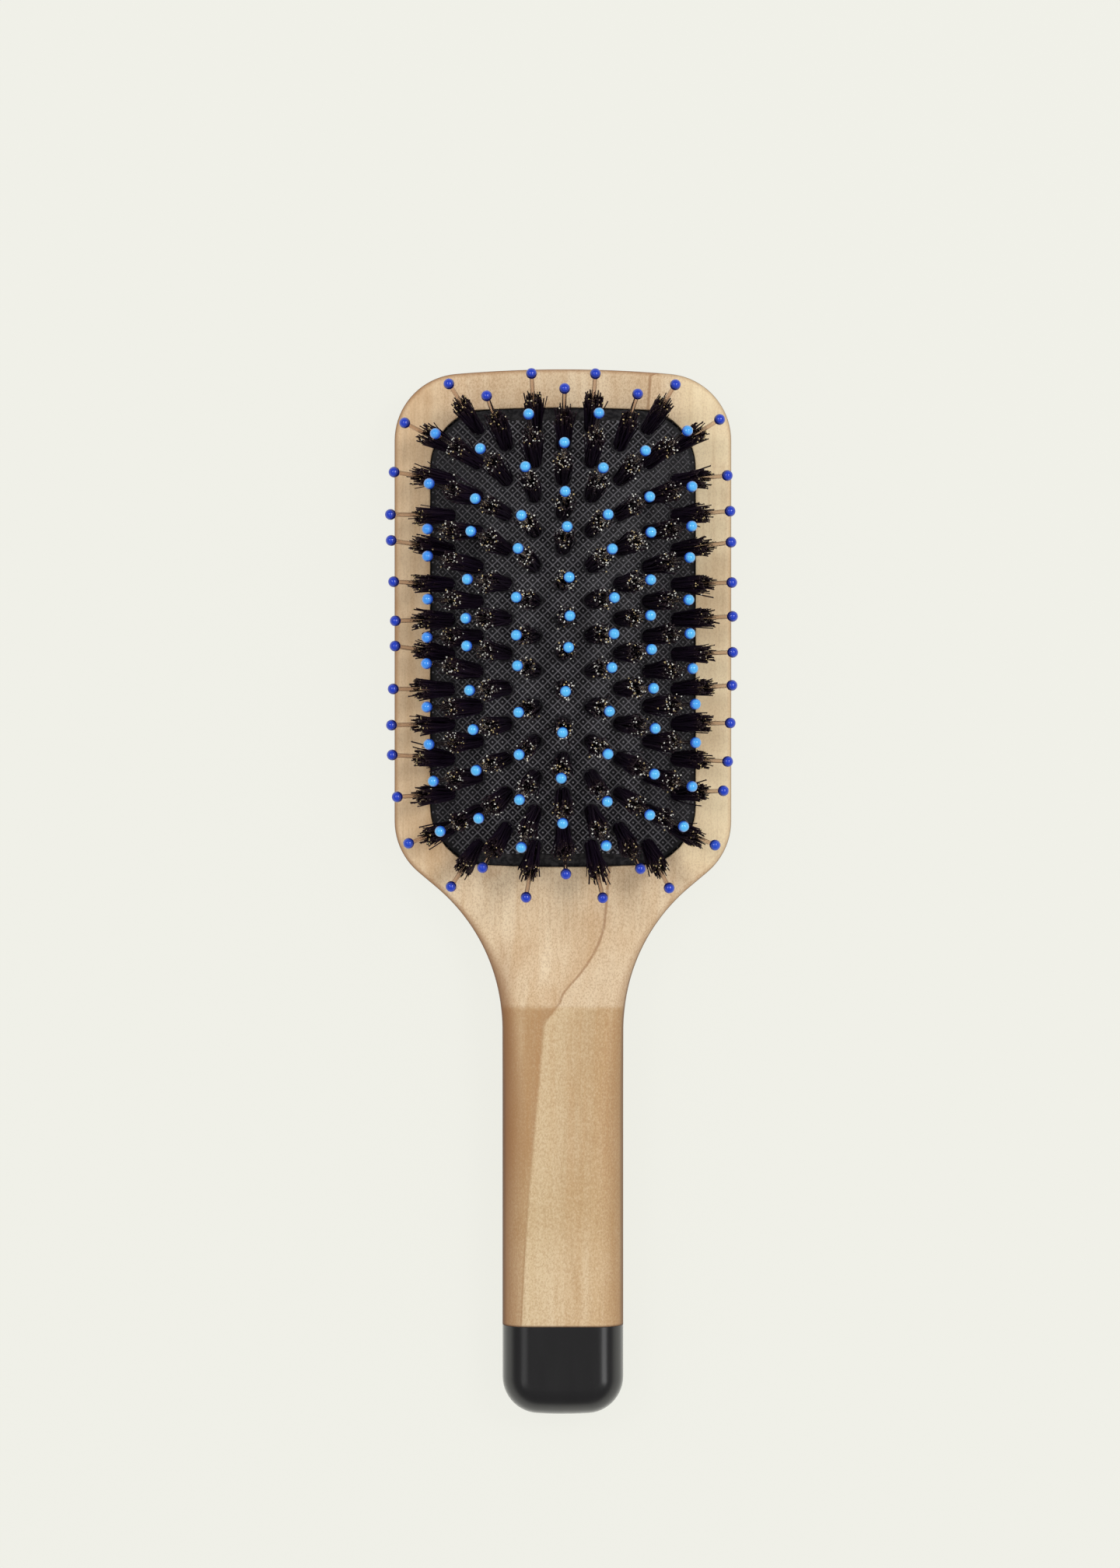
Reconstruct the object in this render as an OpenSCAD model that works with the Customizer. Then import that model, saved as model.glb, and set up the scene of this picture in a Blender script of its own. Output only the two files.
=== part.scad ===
// Cushioned paddle hairbrush, millimetres.
// It lies on its flat back: z = 0 is the back, +Z is the way the bristles stand,
// +Y points from the handle to the head, and the middle of the cushion is over the origin.

/* [Wooden body] */
// Overall width of the paddle
paddle_w = 70.5; // [69:0.1:76]
// From the middle of the cushion to the top of the head
head_reach = 56.15; // [55:0.05:62]
// From the middle of the cushion to the butt of the handle
handle_reach = 162.65; // [140:0.05:175]
// Width of the handle
handle_w = 25.3; // [23:0.1:28]
// Thickness of the paddle
paddle_t = 12; // [11:0.1:13]
// Thickness of the handle
handle_t = 15.8; // [15:0.1:17]
// Rounding along the paddle's edges
edge_r = 1.1; // [0.8:0.1:1.5]
// Rounding along the handle's edges
grip_r = 5.5; // [4:0.1:6]
// Radius of the head's corners and shoulders
corner_r = 14; // [12:0.1:15]
// Hollow radius where the shoulders run into the handle
neck_r = 39; // [35:0.5:42]
// Slope of the shoulders at their steepest, from the brush's length
flank_a = 50; // [45:1:55]

/* [Lacquered end] */
// Length of the dipped end
dip_len = 18.8; // [12:0.1:30]
// Thickness of the lacquer, built up over several dips
coat_t = 0.2; // [0.15:0.05:0.3]

/* [Rubber cushion] */
// Width of the cushion where it shows
cushion_w = 55.2; // [54:0.1:56]
// Length of the cushion where it shows
cushion_l = 95.8; // [95:0.1:97]
// Corner radius of the cushion
cushion_r = 12.5; // [11.5:0.1:13.5]
// Height of the crown over the rim
dome_h = 9.5; // [8:0.1:10.5]
// Thickness of the rubber
rubber_t = 1.4; // [1.2:0.1:1.6]
// Depth of the routed pocket
pocket_d = 6; // [5.5:0.1:7]

/* [Tufts, quills and tips] */
// Spacing of the columns of tufts
col_pitch = 5.9; // [5.8:0.05:6]
// Spacing of the tufts along a column
row_pitch = 7.25; // [7.1:0.05:7.3]
// Outward lean of the outermost columns
side_lean = 32.7; // [26:0.1:34]
// Outward lean of the end rows
end_lean = 31.3; // [22:0.1:33]
// Largest stray lean of a single tuft
stray = 5; // [0:0.1:5]
// Radius of a tuft where it leaves the rubber
root_r = 1.35; // [1.1:0.05:1.5]
// Radius of a tuft at its tip
brush_r = 2.25; // [1.9:0.05:2.4]
// Free length of a tuft
tuft_l = 13.5; // [12:0.1:16]
// Radius of a quill
quill_r = 0.45; // [0.4:0.025:0.5]
// From the rubber to the middle of a ball tip
quill_l = 20.6; // [18:0.1:22]
// Radius of a ball tip
ball_r = 1.13; // [1:0.01:1.2]

/* [Hidden] */
$fn = 32;

// ---- outline of the wood -------------------------------------------------
// Each point is [x, y, direction of the outward normal], on the +X side only.

crown_r = 260;   // the head's nearly straight top edge
butt_r = 90;     // the handle's nearly straight end
butt_corner = 7.7;
shoulder_y = -38.45; // where the straight side of the paddle ends
grip_start = -95;   // where the handle's rounding is full
hw = handle_w / 2;
corner_x = paddle_w / 2 - corner_r;
crown_y = head_reach - crown_r;
corner_y = crown_y + sqrt(pow(crown_r - corner_r, 2) - corner_x * corner_x);
// the flank runs straight, at flank_a, from the shoulder's arc to the neck's arc
flank_end = [corner_x + corner_r * cos(flank_a), shoulder_y - corner_r * sin(flank_a)];
neck_x = hw + neck_r;
neck_top = neck_x - neck_r * cos(flank_a);
neck_y = flank_end[1] - (flank_end[0] - neck_top) / tan(flank_a) - neck_r * sin(flank_a);
butt_x = hw - butt_corner;
butt_y = butt_r - handle_reach;
butt_cy = butt_y - sqrt(pow(butt_r - butt_corner, 2) - butt_x * butt_x);

// the cove, a hollow cylinder cut across the neck, from the face up to the handle's top
cove_start = -59;
cove_end = -77.3;
cove_rise = handle_t - paddle_t;
cove_r = (pow(cove_start - cove_end, 2) + cove_rise * cove_rise) / (2 * cove_rise);

function arc(cx, cy, r, a, b, n) =
    [for (i = [0:n]) let (t = a + (b - a) * i / n) [cx + r * cos(t), cy + r * sin(t), t]];
// a hollow arc: its outward normal points to its centre
function hollow(cx, cy, r, a, b, n) =
    [for (p = arc(cx, cy, r, a, b, n)) [p[0], p[1], p[2] + 180]];

crease_a = 180 - asin((cove_end - neck_y) / (neck_r + round_at(cove_end)));

dip_line = dip_len - handle_reach;
// the outline from the dip line round the butt
BUTT = concat(
    [[hw, dip_line, 0]],
    arc(butt_x, butt_cy, butt_corner, 0, -84, 7),
    arc(0, butt_y, butt_r, -86, -90, 1));
SIDE = concat(
    arc(0, crown_y, crown_r, 90, atan2(corner_y - crown_y, corner_x), 4),
    arc(corner_x, corner_y, corner_r, 70, 0, 7),
    arc(corner_x, shoulder_y, corner_r, 0, -flank_a, 6),
    hollow(neck_x, neck_y, neck_r, 180 - flank_a, crease_a, 7),
    hollow(neck_x, neck_y, neck_r, crease_a + 4, 180, 3),
    [[hw, grip_start, 0]],
    BUTT);

// ---- cross-section of the wood --------------------------------------------

function ramp(y, a, b) = max(0, min(1, (y - a) / (b - a)));
// the edge rounding grows from the paddle to the handle
function round_at(y) = edge_r + (grip_r - edge_r) * pow(ramp(y, -50, grip_start), 1.5);
// height of the top face
function top_at(y) =
    y > cove_start ? paddle_t :
    y < cove_end + 0.01 ? handle_t :
    paddle_t + cove_r - sqrt(cove_r * cove_r - pow(cove_start - y, 2));

STEPS = 4; // flats in each rounding
LEVELS = 2 * STEPS + 2;
// one rib of the skin, from the back round the edge to the top face
function rib(p, skin) =
    let (
        r = round_at(p[1]),
        n = [cos(p[2]), sin(p[2])],
        top = top_at(p[1] - r * n[1])
    )
    [for (k = [0:LEVELS - 1])
        let (
            upper = k > STEPS,
            a = upper ? 90 * (k - STEPS - 1) / STEPS : 90 * k / STEPS - 90,
            inset = r - (r - skin) * cos(a),
            z = upper ? top - r + (r - skin) * sin(a) : r + (r - skin) * sin(a)
        )
        [p[0] - inset * n[0], p[1] - inset * n[1], z]];

// ribs down the right side of an outline and back up the left
function ribs_of(side, skin) =
    let (
        right = [for (p = side) rib(p, skin)],
        last = side[0][0] == 0 ? 1 : 0
    )
    concat(right, [for (j = [len(side) - 2:-1:last]) [for (q = right[j]) [-q[0], q[1], q[2]]]]);

// faces between ribs, with rungs over the back and the top that join the two sides;
// closed when the outline starts on the middle line, else open at its first rib
function skin_faces(m, closed, base) =
    let (
        at = function (j, k) base + (j % m) * LEVELS + k,
        n = closed ? m / 2 : (m - 1) / 2,
        far = function (j) closed ? m - j : m - 1 - j
    )
    concat(
        [for (j = [0:closed ? m - 1 : m - 2], k = [0:LEVELS - 2])
            each [[at(j, k), at(j + 1, k + 1), at(j + 1, k)],
                [at(j, k), at(j, k + 1), at(j + 1, k + 1)]]],
        [for (j = [0:n - 1], k = [0, LEVELS - 1])
            let (a = at(j, k), b = at(j + 1, k), c = at(far(j + 1), k), d = at(far(j), k))
            each a == d ? [k > 0 ? [a, c, b] : [a, b, c]] :
                b == c ? [k > 0 ? [a, d, b] : [a, b, d]] :
                k > 0 ? [[a, d, b], [b, d, c]] : [[a, b, d], [b, c, d]]]);

function flip(faces) = [for (f = faces) [f[0], f[2], f[1]]];

// the whole wooden form, taken in by skin all over
module form(skin) {
    ribs = ribs_of(SIDE, skin);
    polyhedron(points = [for (r = ribs) each r], faces = skin_faces(len(ribs), true, 0),
        convexity = 6);
}

// the coat of lacquer: a cup between the form and the form taken in by coat_t
module cup() {
    outer = ribs_of(BUTT, 0);
    m = len(outer);
    inner_base = m * LEVELS;
    mouth = concat([for (k = [0:LEVELS - 1]) k],
        [for (k = [LEVELS - 1:-1:0]) (m - 1) * LEVELS + k]);
    brim = [for (q = [0:len(mouth) - 1])
        let (a = mouth[q], b = mouth[(q + 1) % len(mouth)])
        each [[b, a, inner_base + a], [b, inner_base + a, inner_base + b]]];
    polyhedron(points = [for (r = concat(outer, ribs_of(BUTT, coat_t))) each r],
        faces = concat(skin_faces(m, false, 0), flip(skin_faces(m, false, inner_base)), brim),
        convexity = 6);
}

// keeps what lies on the handle's side of the dip line, or on the head's side
module beyond_dip(head) {
    translate([-50, head ? dip_line : dip_line - 60, -5]) cube([100, head ? 250 : 60, 40]);
}

// ---- cushion ----------------------------------------------------------------

end_bow = 320;          // radius of the cushion's slightly bowed ends
gap = 0.15;             // between the rubber and the wood
rim_z = paddle_t - 0.5; // where the dome starts, just inside the pocket
lip = 1.7;              // wood left over the groove
bead_t = 1.6;           // thickness of the rim bead
bead_w = 1.3;           // how far the bead reaches under the lip

module outline(grow) {
    w = cushion_w + 2 * grow;
    l = cushion_l + 2 * grow;
    r = cushion_r + grow;
    big = end_bow + grow;
    intersection() {
        union() {
            square([w, l - 2 * r], center = true);
            square([w - 2 * r, l], center = true);
            for (x = [-1, 1], y = [-1, 1])
                translate([x * (w / 2 - r), y * (l / 2 - r)]) circle(r);
        }
        translate([0, l / 2 - big]) circle(big, $fn = 720);
        translate([0, big - l / 2]) circle(big, $fn = 720);
    }
}

// half the cushion's width at y, grown by g
function half_w(y, g) =
    let (r = cushion_r + g, s = abs(y) - (cushion_l / 2 - cushion_r))
    cushion_w / 2 + g - (s > 0 ? r - sqrt(max(0, r * r - s * s)) : 0);

// share of the crown's height at x, y, from 1 in the middle to 0 along the rim
function swell(u, v) = (1 - u * u) * (1 - pow(abs(v), 3));
function dome_z(x, y) = rim_z + dome_h * swell(x / half_w(y, 0), y / (cushion_l / 2));

// rows of the cushion's skin: fine steps round the corners, even ones between
CORNER_STEPS = 6;
MID_STEPS = 14;
END_Y = cushion_l / 2 - cushion_r;
function row_y(i, g) =
    i < CORNER_STEPS ? -END_Y - (cushion_r + g) * cos(90 * i / CORNER_STEPS) :
    i > CORNER_STEPS + MID_STEPS ?
        END_Y + (cushion_r + g) * sin(90 * (i - CORNER_STEPS - MID_STEPS) / CORNER_STEPS) :
    -END_Y + 2 * END_Y * (i - CORNER_STEPS) / MID_STEPS;
ROWS = 2 * CORNER_STEPS + MID_STEPS;
COLS = 12;
// a point of the skin: g takes it in or out, h is its crown height
function skin_at(i, j, g, h) =
    let (
        y = row_y(i, g),
        u = 2 * j / COLS - 1,
        v = y / (cushion_l / 2 + g),
        bow = pow(abs(v), 8) * pow(u * half_w(y, g), 2) / (2 * end_bow)
    )
    [u * half_w(y, g), y - sign(y) * bow, rim_z + h * swell(u, v)];
// the rim, once round
function rim(g, z) =
    [for (p = concat(
        [for (j = [0:COLS - 1]) skin_at(0, j, g, 0)],
        [for (i = [0:ROWS - 1]) skin_at(i, COLS, g, 0)],
        [for (j = [COLS:-1:1]) skin_at(ROWS, j, g, 0)],
        [for (i = [ROWS:-1:1]) skin_at(i, 0, g, 0)])) [p[0], p[1], z]];

module membrane() {
    outer = [for (i = [0:ROWS], j = [0:COLS]) skin_at(i, j, 0, dome_h)];
    inner = [for (i = [0:ROWS], j = [0:COLS]) skin_at(i, j, -rubber_t, dome_h - rubber_t)];
    bead_top = paddle_t - lip - gap;
    loops = [rim(0, bead_top), rim(bead_w, bead_top), rim(bead_w, bead_top - bead_t),
        rim(-rubber_t, bead_top - bead_t)];
    n = len(outer);
    loop_n = len(loops[0]);
    grid = function (i, j) i * (COLS + 1) + j;
    // the same rim walk as rim(), as indices into a grid
    walk = concat([for (j = [0:COLS - 1]) grid(0, j)], [for (i = [0:ROWS - 1]) grid(i, COLS)],
        [for (j = [COLS:-1:1]) grid(ROWS, j)], [for (i = [ROWS:-1:1]) grid(i, 0)]);
    base = 2 * n;
    bands = concat([walk], [for (k = [0:3]) [for (q = [0:loop_n - 1]) base + k * loop_n + q]],
        [[for (w = walk) n + w]]);
    top = [for (i = [0:ROWS - 1], j = [0:COLS - 1])
        let (a = grid(i, j), b = grid(i, j + 1), c = grid(i + 1, j + 1), d = grid(i + 1, j))
        each [[a, c, b], [a, d, c]]];
    under = [for (t = top) [n + t[0], n + t[2], n + t[1]]];
    sides = [for (k = [0:4], q = [0:loop_n - 1])
        let (e = (q + 1) % loop_n)
        each [[bands[k][q], bands[k][e], bands[k + 1][e]], [bands[k][q], bands[k + 1][e], bands[k + 1][q]]]];
    polyhedron(points = concat(outer, inner, [for (l = loops) each l]),
        faces = concat(top, under, sides), convexity = 6);
}

// ---- stations of the tufts ---------------------------------------------------

HALF_COLS = 4;
LONG = 13; // tufts in a long column; the short ones between have one fewer
// a steady spread of stray leans from a few waves: [share, pace, start] each
SIDE_WAVES = [[0.4, 4.8, -164], [0.3, 48.9, 158], [0.3, 32.9, -79]];
END_WAVES = [[0.35, 111.1, -73], [0.35, 137.3, 119]];
function wander(n, waves) =
    stray * [for (w = waves) w[0] * sin(w[1] * n + w[2])] * [for (w = waves) 1];

function station(c, k, n) =
    let (
        rows = c % 2 == 0 ? LONG - 1 : LONG,
        x = c * col_pitch,
        y = (k - (rows - 1) / 2) * row_pitch,
        t = y / (row_pitch * (LONG - 1) / 2),
        u = c / HALF_COLS,
        // the sides lean less towards the ends, and the end rows less towards the sides
        lean_x = side_lean * (1.25 * u - 0.25 * pow(u, 3)) * (1 - 0.49 * pow(t, 4))
            + wander(n, SIDE_WAVES),
        lean_y = end_lean * (1 - 0.44 * u * u) * sign(t) * pow(abs(t), 1.9 + 6.9 * pow(u, 4))
            + wander(n, END_WAVES),
        ring = min(HALF_COLS - abs(c), k, rows - 1 - k),
        tilt = asin(norm([sin(lean_x), sin(lean_y)]))
    )
    [[x, y, dome_z(x, y)], tilt, atan2(sin(lean_y), sin(lean_x)), ring];

STATIONS = [for (c = [-HALF_COLS:HALF_COLS]) let (rows = c % 2 == 0 ? LONG - 1 : LONG)
    for (k = [0:rows - 1]) station(c, k, (c + HALF_COLS) * LONG + k)];

// puts its child on every station of a ring, its z along the tuft
module on_ring(ring) {
    for (s = STATIONS) if (s[3] == ring)
        translate(s[0]) rotate([0, s[1], s[2]]) rotate([0, 0, -s[2]]) children();
}

hole_r = root_r + 0.06;
quill_fit = 0.02;    // round a quill in its tuft and its tip
wire_r = 0.3;
wire_l = 3.6;
wire_z = -rubber_t - 0.75; // the staple bears behind the rubber
foot_r = 0.75;             // a quill's moulded foot
foot_h = 1.4;
fold_z = wire_z - 0.9;     // bottom of the folded bristles

module staple_hole() {
    translate([0, 0, wire_z]) rotate([0, 90, 0])
        cylinder(r = wire_r + quill_fit, h = wire_l, center = true);
}

// bristles folded under the staple, gripping the quill's foot and fanning out above the rubber
module tuft() {
    bore = quill_r + quill_fit;
    cave = foot_r + quill_fit;
    cave_top = wire_z + foot_h / 2 + quill_fit;
    difference() {
        rotate_extrude() polygon([
            [0, fold_z], [root_r - 0.25, fold_z], [root_r, fold_z + 0.25], [root_r, 0.6],
            [brush_r - 0.15, tuft_l - 1.6], [brush_r, tuft_l - 0.6], [brush_r - 0.5, tuft_l],
            [bore, tuft_l], [bore, cave_top], [cave, cave_top],
            [cave, wire_z - foot_h / 2 - quill_fit], [0, wire_z - foot_h / 2 - quill_fit]]);
        staple_hole();
    }
}

// a nylon quill with a moulded foot that the staple runs through
module quill() {
    difference() {
        union() {
            translate([0, 0, wire_z]) cylinder(r = quill_r, h = quill_l - wire_z + 0.3);
            translate([0, 0, wire_z]) cylinder(r = foot_r, h = foot_h, center = true);
        }
        staple_hole();
    }
}

module tip() {
    difference() {
        translate([0, 0, quill_l]) sphere(ball_r);
        translate([0, 0, quill_l - 2 * ball_r])
            cylinder(r = quill_r + quill_fit, h = 2 * ball_r + 0.3 + quill_fit);
    }
}

module staple() {
    translate([0, 0, wire_z]) rotate([0, 90, 0]) cylinder(r = wire_r, h = wire_l, center = true);
}

// ---- nodes ---------------------------------------------------------------------

module paddle_handle() {
    color([0.84, 0.73, 0.58]) difference() {
        union() {
            intersection() {
                form(0);
                beyond_dip(true);
            }
            intersection() {
                form(coat_t);
                beyond_dip(false);
            }
        }
        translate([0, 0, paddle_t - pocket_d]) linear_extrude(pocket_d + 1) outline(gap);
        translate([0, 0, paddle_t - lip - bead_t - 2 * gap])
            linear_extrude(bead_t + 2 * gap) outline(bead_w + gap);
    }
}

module lacquer_dip() {
    color([0.1, 0.1, 0.1]) cup();
}

module cushion_rubber() {
    color([0.15, 0.15, 0.16]) difference() {
        membrane();
        for (ring = [0:4]) on_ring(ring)
            translate([0, 0, -3]) cylinder(r = hole_r, h = 5);
    }
}

module tufts(ring) {
    color([0.25, 0.2, 0.17]) on_ring(ring) tuft();
}
module quills(ring) {
    color([0.85, 0.85, 0.85]) on_ring(ring) quill();
}
module tips(ring) {
    color([0.2, 0.5, 0.95]) on_ring(ring) tip();
}
module staples(ring) {
    color([0.7, 0.65, 0.4]) on_ring(ring) staple();
}

module tufts_rim() tufts(0);
module tufts_outer() tufts(1);
module tufts_middle() tufts(2);
module tufts_inner() tufts(3);
module tufts_core() tufts(4);
module quills_rim() quills(0);
module quills_outer() quills(1);
module quills_middle() quills(2);
module quills_inner() quills(3);
module quills_core() quills(4);
module tips_rim() tips(0);
module tips_outer() tips(1);
module tips_middle() tips(2);
module tips_inner() tips(3);
module tips_core() tips(4);
module staples_rim() staples(0);
module staples_outer() staples(1);
module staples_middle() staples(2);
module staples_inner() staples(3);
module staples_core() staples(4);

paddle_handle();
lacquer_dip();
cushion_rubber();
tufts_rim();
tufts_outer();
tufts_middle();
tufts_inner();
tufts_core();
quills_rim();
quills_outer();
quills_middle();
quills_inner();
quills_core();
tips_rim();
tips_outer();
tips_middle();
tips_inner();
tips_core();
staples_rim();
staples_outer();
staples_middle();
staples_inner();
staples_core();
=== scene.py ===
import bpy
import numpy as np
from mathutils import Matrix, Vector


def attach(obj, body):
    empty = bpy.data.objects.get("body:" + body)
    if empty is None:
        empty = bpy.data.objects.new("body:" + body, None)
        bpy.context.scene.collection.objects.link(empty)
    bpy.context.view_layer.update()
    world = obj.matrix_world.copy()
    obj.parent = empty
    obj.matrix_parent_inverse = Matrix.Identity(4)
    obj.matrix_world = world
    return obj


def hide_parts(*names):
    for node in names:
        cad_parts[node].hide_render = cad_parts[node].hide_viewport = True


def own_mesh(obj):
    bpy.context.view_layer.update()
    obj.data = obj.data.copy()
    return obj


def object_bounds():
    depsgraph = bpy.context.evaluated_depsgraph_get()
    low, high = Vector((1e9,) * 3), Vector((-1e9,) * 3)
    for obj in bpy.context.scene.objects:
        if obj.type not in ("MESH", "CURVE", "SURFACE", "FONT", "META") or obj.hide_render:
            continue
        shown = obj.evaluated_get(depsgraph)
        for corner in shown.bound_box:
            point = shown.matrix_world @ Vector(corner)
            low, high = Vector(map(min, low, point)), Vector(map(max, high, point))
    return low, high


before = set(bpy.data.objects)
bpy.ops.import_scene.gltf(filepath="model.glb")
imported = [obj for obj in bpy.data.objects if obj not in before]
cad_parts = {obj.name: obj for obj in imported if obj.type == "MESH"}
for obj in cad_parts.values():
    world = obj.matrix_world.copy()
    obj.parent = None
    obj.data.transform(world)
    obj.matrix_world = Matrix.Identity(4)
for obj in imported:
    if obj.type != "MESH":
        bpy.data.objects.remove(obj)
box_low, box_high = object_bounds()

# --------------------------------------
# The table it lies on: a plain pale sheet, lit from all round, by two soft boxes
# over the head's sides and two strips over the handle's, with a camera straight
# above. Every finish, from here on, is put together as sums on patterns.


class Pattern:
    """A value that changes over a surface, held as one output of a node.

    Sums on patterns, or on a pattern and a number, add their Math nodes.
    """

    def __init__(self, finish, output):
        self.finish = finish
        self.output = output

    def math(self, operation, *others):
        values = dict(enumerate((self, *others)))
        return self.finish.node("Math", {"operation": operation}, values)

    def __add__(self, other):
        return self.math("ADD", other)

    def __mul__(self, other):
        return self.math("MULTIPLY", other)

    def __sub__(self, other):
        return self.math("SUBTRACT", other)

    def __rsub__(self, other):
        return (self * -1) + other

    def __neg__(self):
        return self * -1

    def __abs__(self):
        return self.math("ABSOLUTE")

    def __pow__(self, other):
        return self.math("POWER", other)

    __radd__ = __add__
    __rmul__ = __mul__


class Finish:
    """A surface finish: a Principled shader with its constants, and the nodes that feed it."""

    def __init__(self, name, **constants):
        self.material = bpy.data.materials.new(name)
        self.material.use_nodes = True
        self.tree = self.material.node_tree
        self.shader = self.tree.nodes["Principled BSDF"]
        self.feed(**constants)

    def wire(self, node, sockets):
        for name, value in sockets.items():
            if isinstance(value, Pattern):
                self.tree.links.new(value.output, node.inputs[name])
            else:
                node.inputs[name].default_value = value

    def feed(self, **sockets):
        """Sets or links the shader's own sockets, such as base_color or coat_weight."""
        titles = {"specular_ior_level": "Specular IOR Level", "ior": "IOR", "coat_ior": "Coat IOR"}
        named = {titles.get(k, k.replace("_", " ").title()): v for k, v in sockets.items()}
        self.wire(self.shader, named)

    def node(self, kind, settings=None, sockets=None, output=0):
        """Adds any shader node: its settings first, then the values or links of its sockets."""
        node = self.tree.nodes.new("ShaderNode" + kind)
        for name, value in (settings or {}).items():
            setattr(node, name, value)
        self.wire(node, sockets or {})
        return Pattern(self, node.outputs[output])

    def place(self):
        """Object coordinates in millimetres, as a vector."""
        metres = self.node("TexCoord", output="Object")
        return self.node("VectorMath", {"operation": "SCALE"}, {0: metres, "Scale": 1000.0})

    def split(self, vector):
        parts = self.tree.nodes.new("ShaderNodeSeparateXYZ")
        self.wire(parts, {0: vector})
        return [Pattern(self, out) for out in parts.outputs]

    def join(self, x, y, z):
        return self.node("CombineXYZ", sockets={0: x, 1: y, 2: z})

    def stretch(self, vector, x, y, z):
        return self.node("VectorMath", {"operation": "MULTIPLY"}, {0: vector, 1: (x, y, z)})

    def noise(self, vector, scale, detail=2.0, roughness=0.5, distortion=0.0):
        values = {"Vector": vector, "Scale": scale, "Detail": detail,
                  "Roughness": roughness, "Distortion": distortion}
        return self.node("TexNoise", sockets=values)

    def step(self, value, low, high, to_low=0.0, to_high=1.0):
        """Runs smoothly from to_low to to_high as value goes from low to high."""
        values = {"Value": value, "From Min": low, "From Max": high,
                  "To Min": to_low, "To Max": to_high}
        return self.node("MapRange", {"interpolation_type": "SMOOTHSTEP"}, values)

    def mix(self, amount, under, over):
        """Lays the colour over on the colour under, by amount."""
        return self.node("Mix", {"data_type": "RGBA"}, {0: amount, 6: under, 7: over}, 2)

    def layers(self, base, *coats):
        """Lays coats on a base paint one after another: each is an amount and a paint or colour."""
        colour = paint(*base)
        for amount, coat in coats:
            over = coat if isinstance(coat, Pattern) else paint(*coat)
            colour = self.mix(amount, colour, over)
        return colour

    def value_of(self, name):
        """A number that each point of the mesh carries."""
        return self.node("Attribute", {"attribute_name": name}, output="Fac")

    def bump(self, height, depth, strength=1.0):
        """Turns a height from 0 to 1 into a relief of that depth, in metres."""
        values = {"Height": height, "Distance": depth, "Strength": strength}
        return self.node("Bump", sockets=values)


def paint(red, green, blue):
    """A colour as a paint chart gives it, 0 to 255, turned into light: the sRGB curve undone."""
    share = np.array([red, green, blue]) / 255
    light = np.where(share > 0.04045, ((share + 0.055) / 1.055) ** 2.4, share / 12.92)
    return (*light.tolist(), 1.0)


PAPER = paint(240, 240, 232)
SHEET_HALF = 3.0  # half the sheet's side, metres
SHEET_Z = -0.00005  # just clear of the wood's flat back
SHOW_THROUGH = 0.93  # share of the sheet that shows its own colour, whatever falls on it


def seen(tree):
    """1 on the rays that show the backdrop: straight, mirrored or through clear plastic."""
    path = tree.nodes.new("ShaderNodeLightPath")
    total = path.outputs["Is Camera Ray"]
    for name in ("Is Glossy Ray", "Is Transmission Ray"):
        add = tree.nodes.new("ShaderNodeMath")
        add.operation = "MAXIMUM"
        tree.links.new(total, add.inputs[0])
        tree.links.new(path.outputs[name], add.inputs[1])
        total = add.outputs[0]
    return total


def sheet_finish():
    """Pale paper that keeps a soft shadow; seen from below it is clear, so the back can be viewed."""
    paper = Finish("pale_paper", roughness=0.9, specular_ior_level=0.0, base_color=PAPER)
    tree = paper.tree
    glow = paper.node("Emission", sockets={"Color": PAPER})
    lit = Pattern(paper, paper.shader.outputs[0])
    dull = paper.node("BsdfDiffuse", sockets={"Color": paint(190, 190, 186)})
    shown = paper.node("MixShader", sockets={0: SHOW_THROUGH, 1: lit, 2: glow})
    either = paper.node("MixShader", sockets={0: Pattern(paper, seen(tree)), 1: dull, 2: shown})
    clear = paper.node("BsdfTransparent")
    behind = paper.node("NewGeometry", output="Backfacing")
    whole = paper.node("MixShader", sockets={0: behind, 1: either, 2: clear})
    tree.links.new(whole.output, tree.nodes["Material Output"].inputs["Surface"])
    return paper.material


def flat_sheet():
    """A square sheet: one face, its corners at plus and minus half the side."""
    h = SHEET_HALF
    mesh = bpy.data.meshes.new("sheet")
    corners = [(-h, -h, SHEET_Z), (h, -h, SHEET_Z), (h, h, SHEET_Z), (-h, h, SHEET_Z)]
    mesh.from_pydata(corners, [], [(0, 1, 2, 3)])
    return mesh


def put(name, data):
    """A new object of that name in the scene."""
    thing = bpy.data.objects.new(name, data)
    bpy.context.scene.collection.objects.link(thing)
    return thing


sheet = put("paper_sheet", flat_sheet())
sheet.data.materials.append(sheet_finish())

AIR_LIGHT = 0.6  # level of the even light from all round
CEILING = paint(128, 128, 127)

world = bpy.data.worlds.new("room")
bpy.context.scene.world = world
world.use_nodes = True
nodes = world.node_tree.nodes
connect = world.node_tree.links.new
air = nodes["Background"]
air.inputs["Color"].default_value = (1, 1, 1, 1)
air.inputs["Strength"].default_value = AIR_LIGHT
backdrop = nodes.new("ShaderNodeBackground")
upward = nodes.new("ShaderNodeTexCoord")
height = nodes.new("ShaderNodeSeparateXYZ")
fade = nodes.new("ShaderNodeMapRange")
fade.interpolation_type = "SMOOTHSTEP"
fade.inputs["From Min"].default_value = 0.05
fade.inputs["From Max"].default_value = 0.45
tone = nodes.new("ShaderNodeMix")
tone.data_type = "RGBA"
tone.inputs[6].default_value = PAPER
tone.inputs[7].default_value = CEILING
choice = nodes.new("ShaderNodeMixShader")
connect(upward.outputs["Generated"], height.inputs[0])
connect(height.outputs["Z"], fade.inputs["Value"])
connect(fade.outputs[0], tone.inputs[0])
connect(tone.outputs[2], backdrop.inputs["Color"])
connect(seen(world.node_tree), choice.inputs[0])
connect(air.outputs[0], choice.inputs[1])
connect(backdrop.outputs[0], choice.inputs[2])
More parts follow.
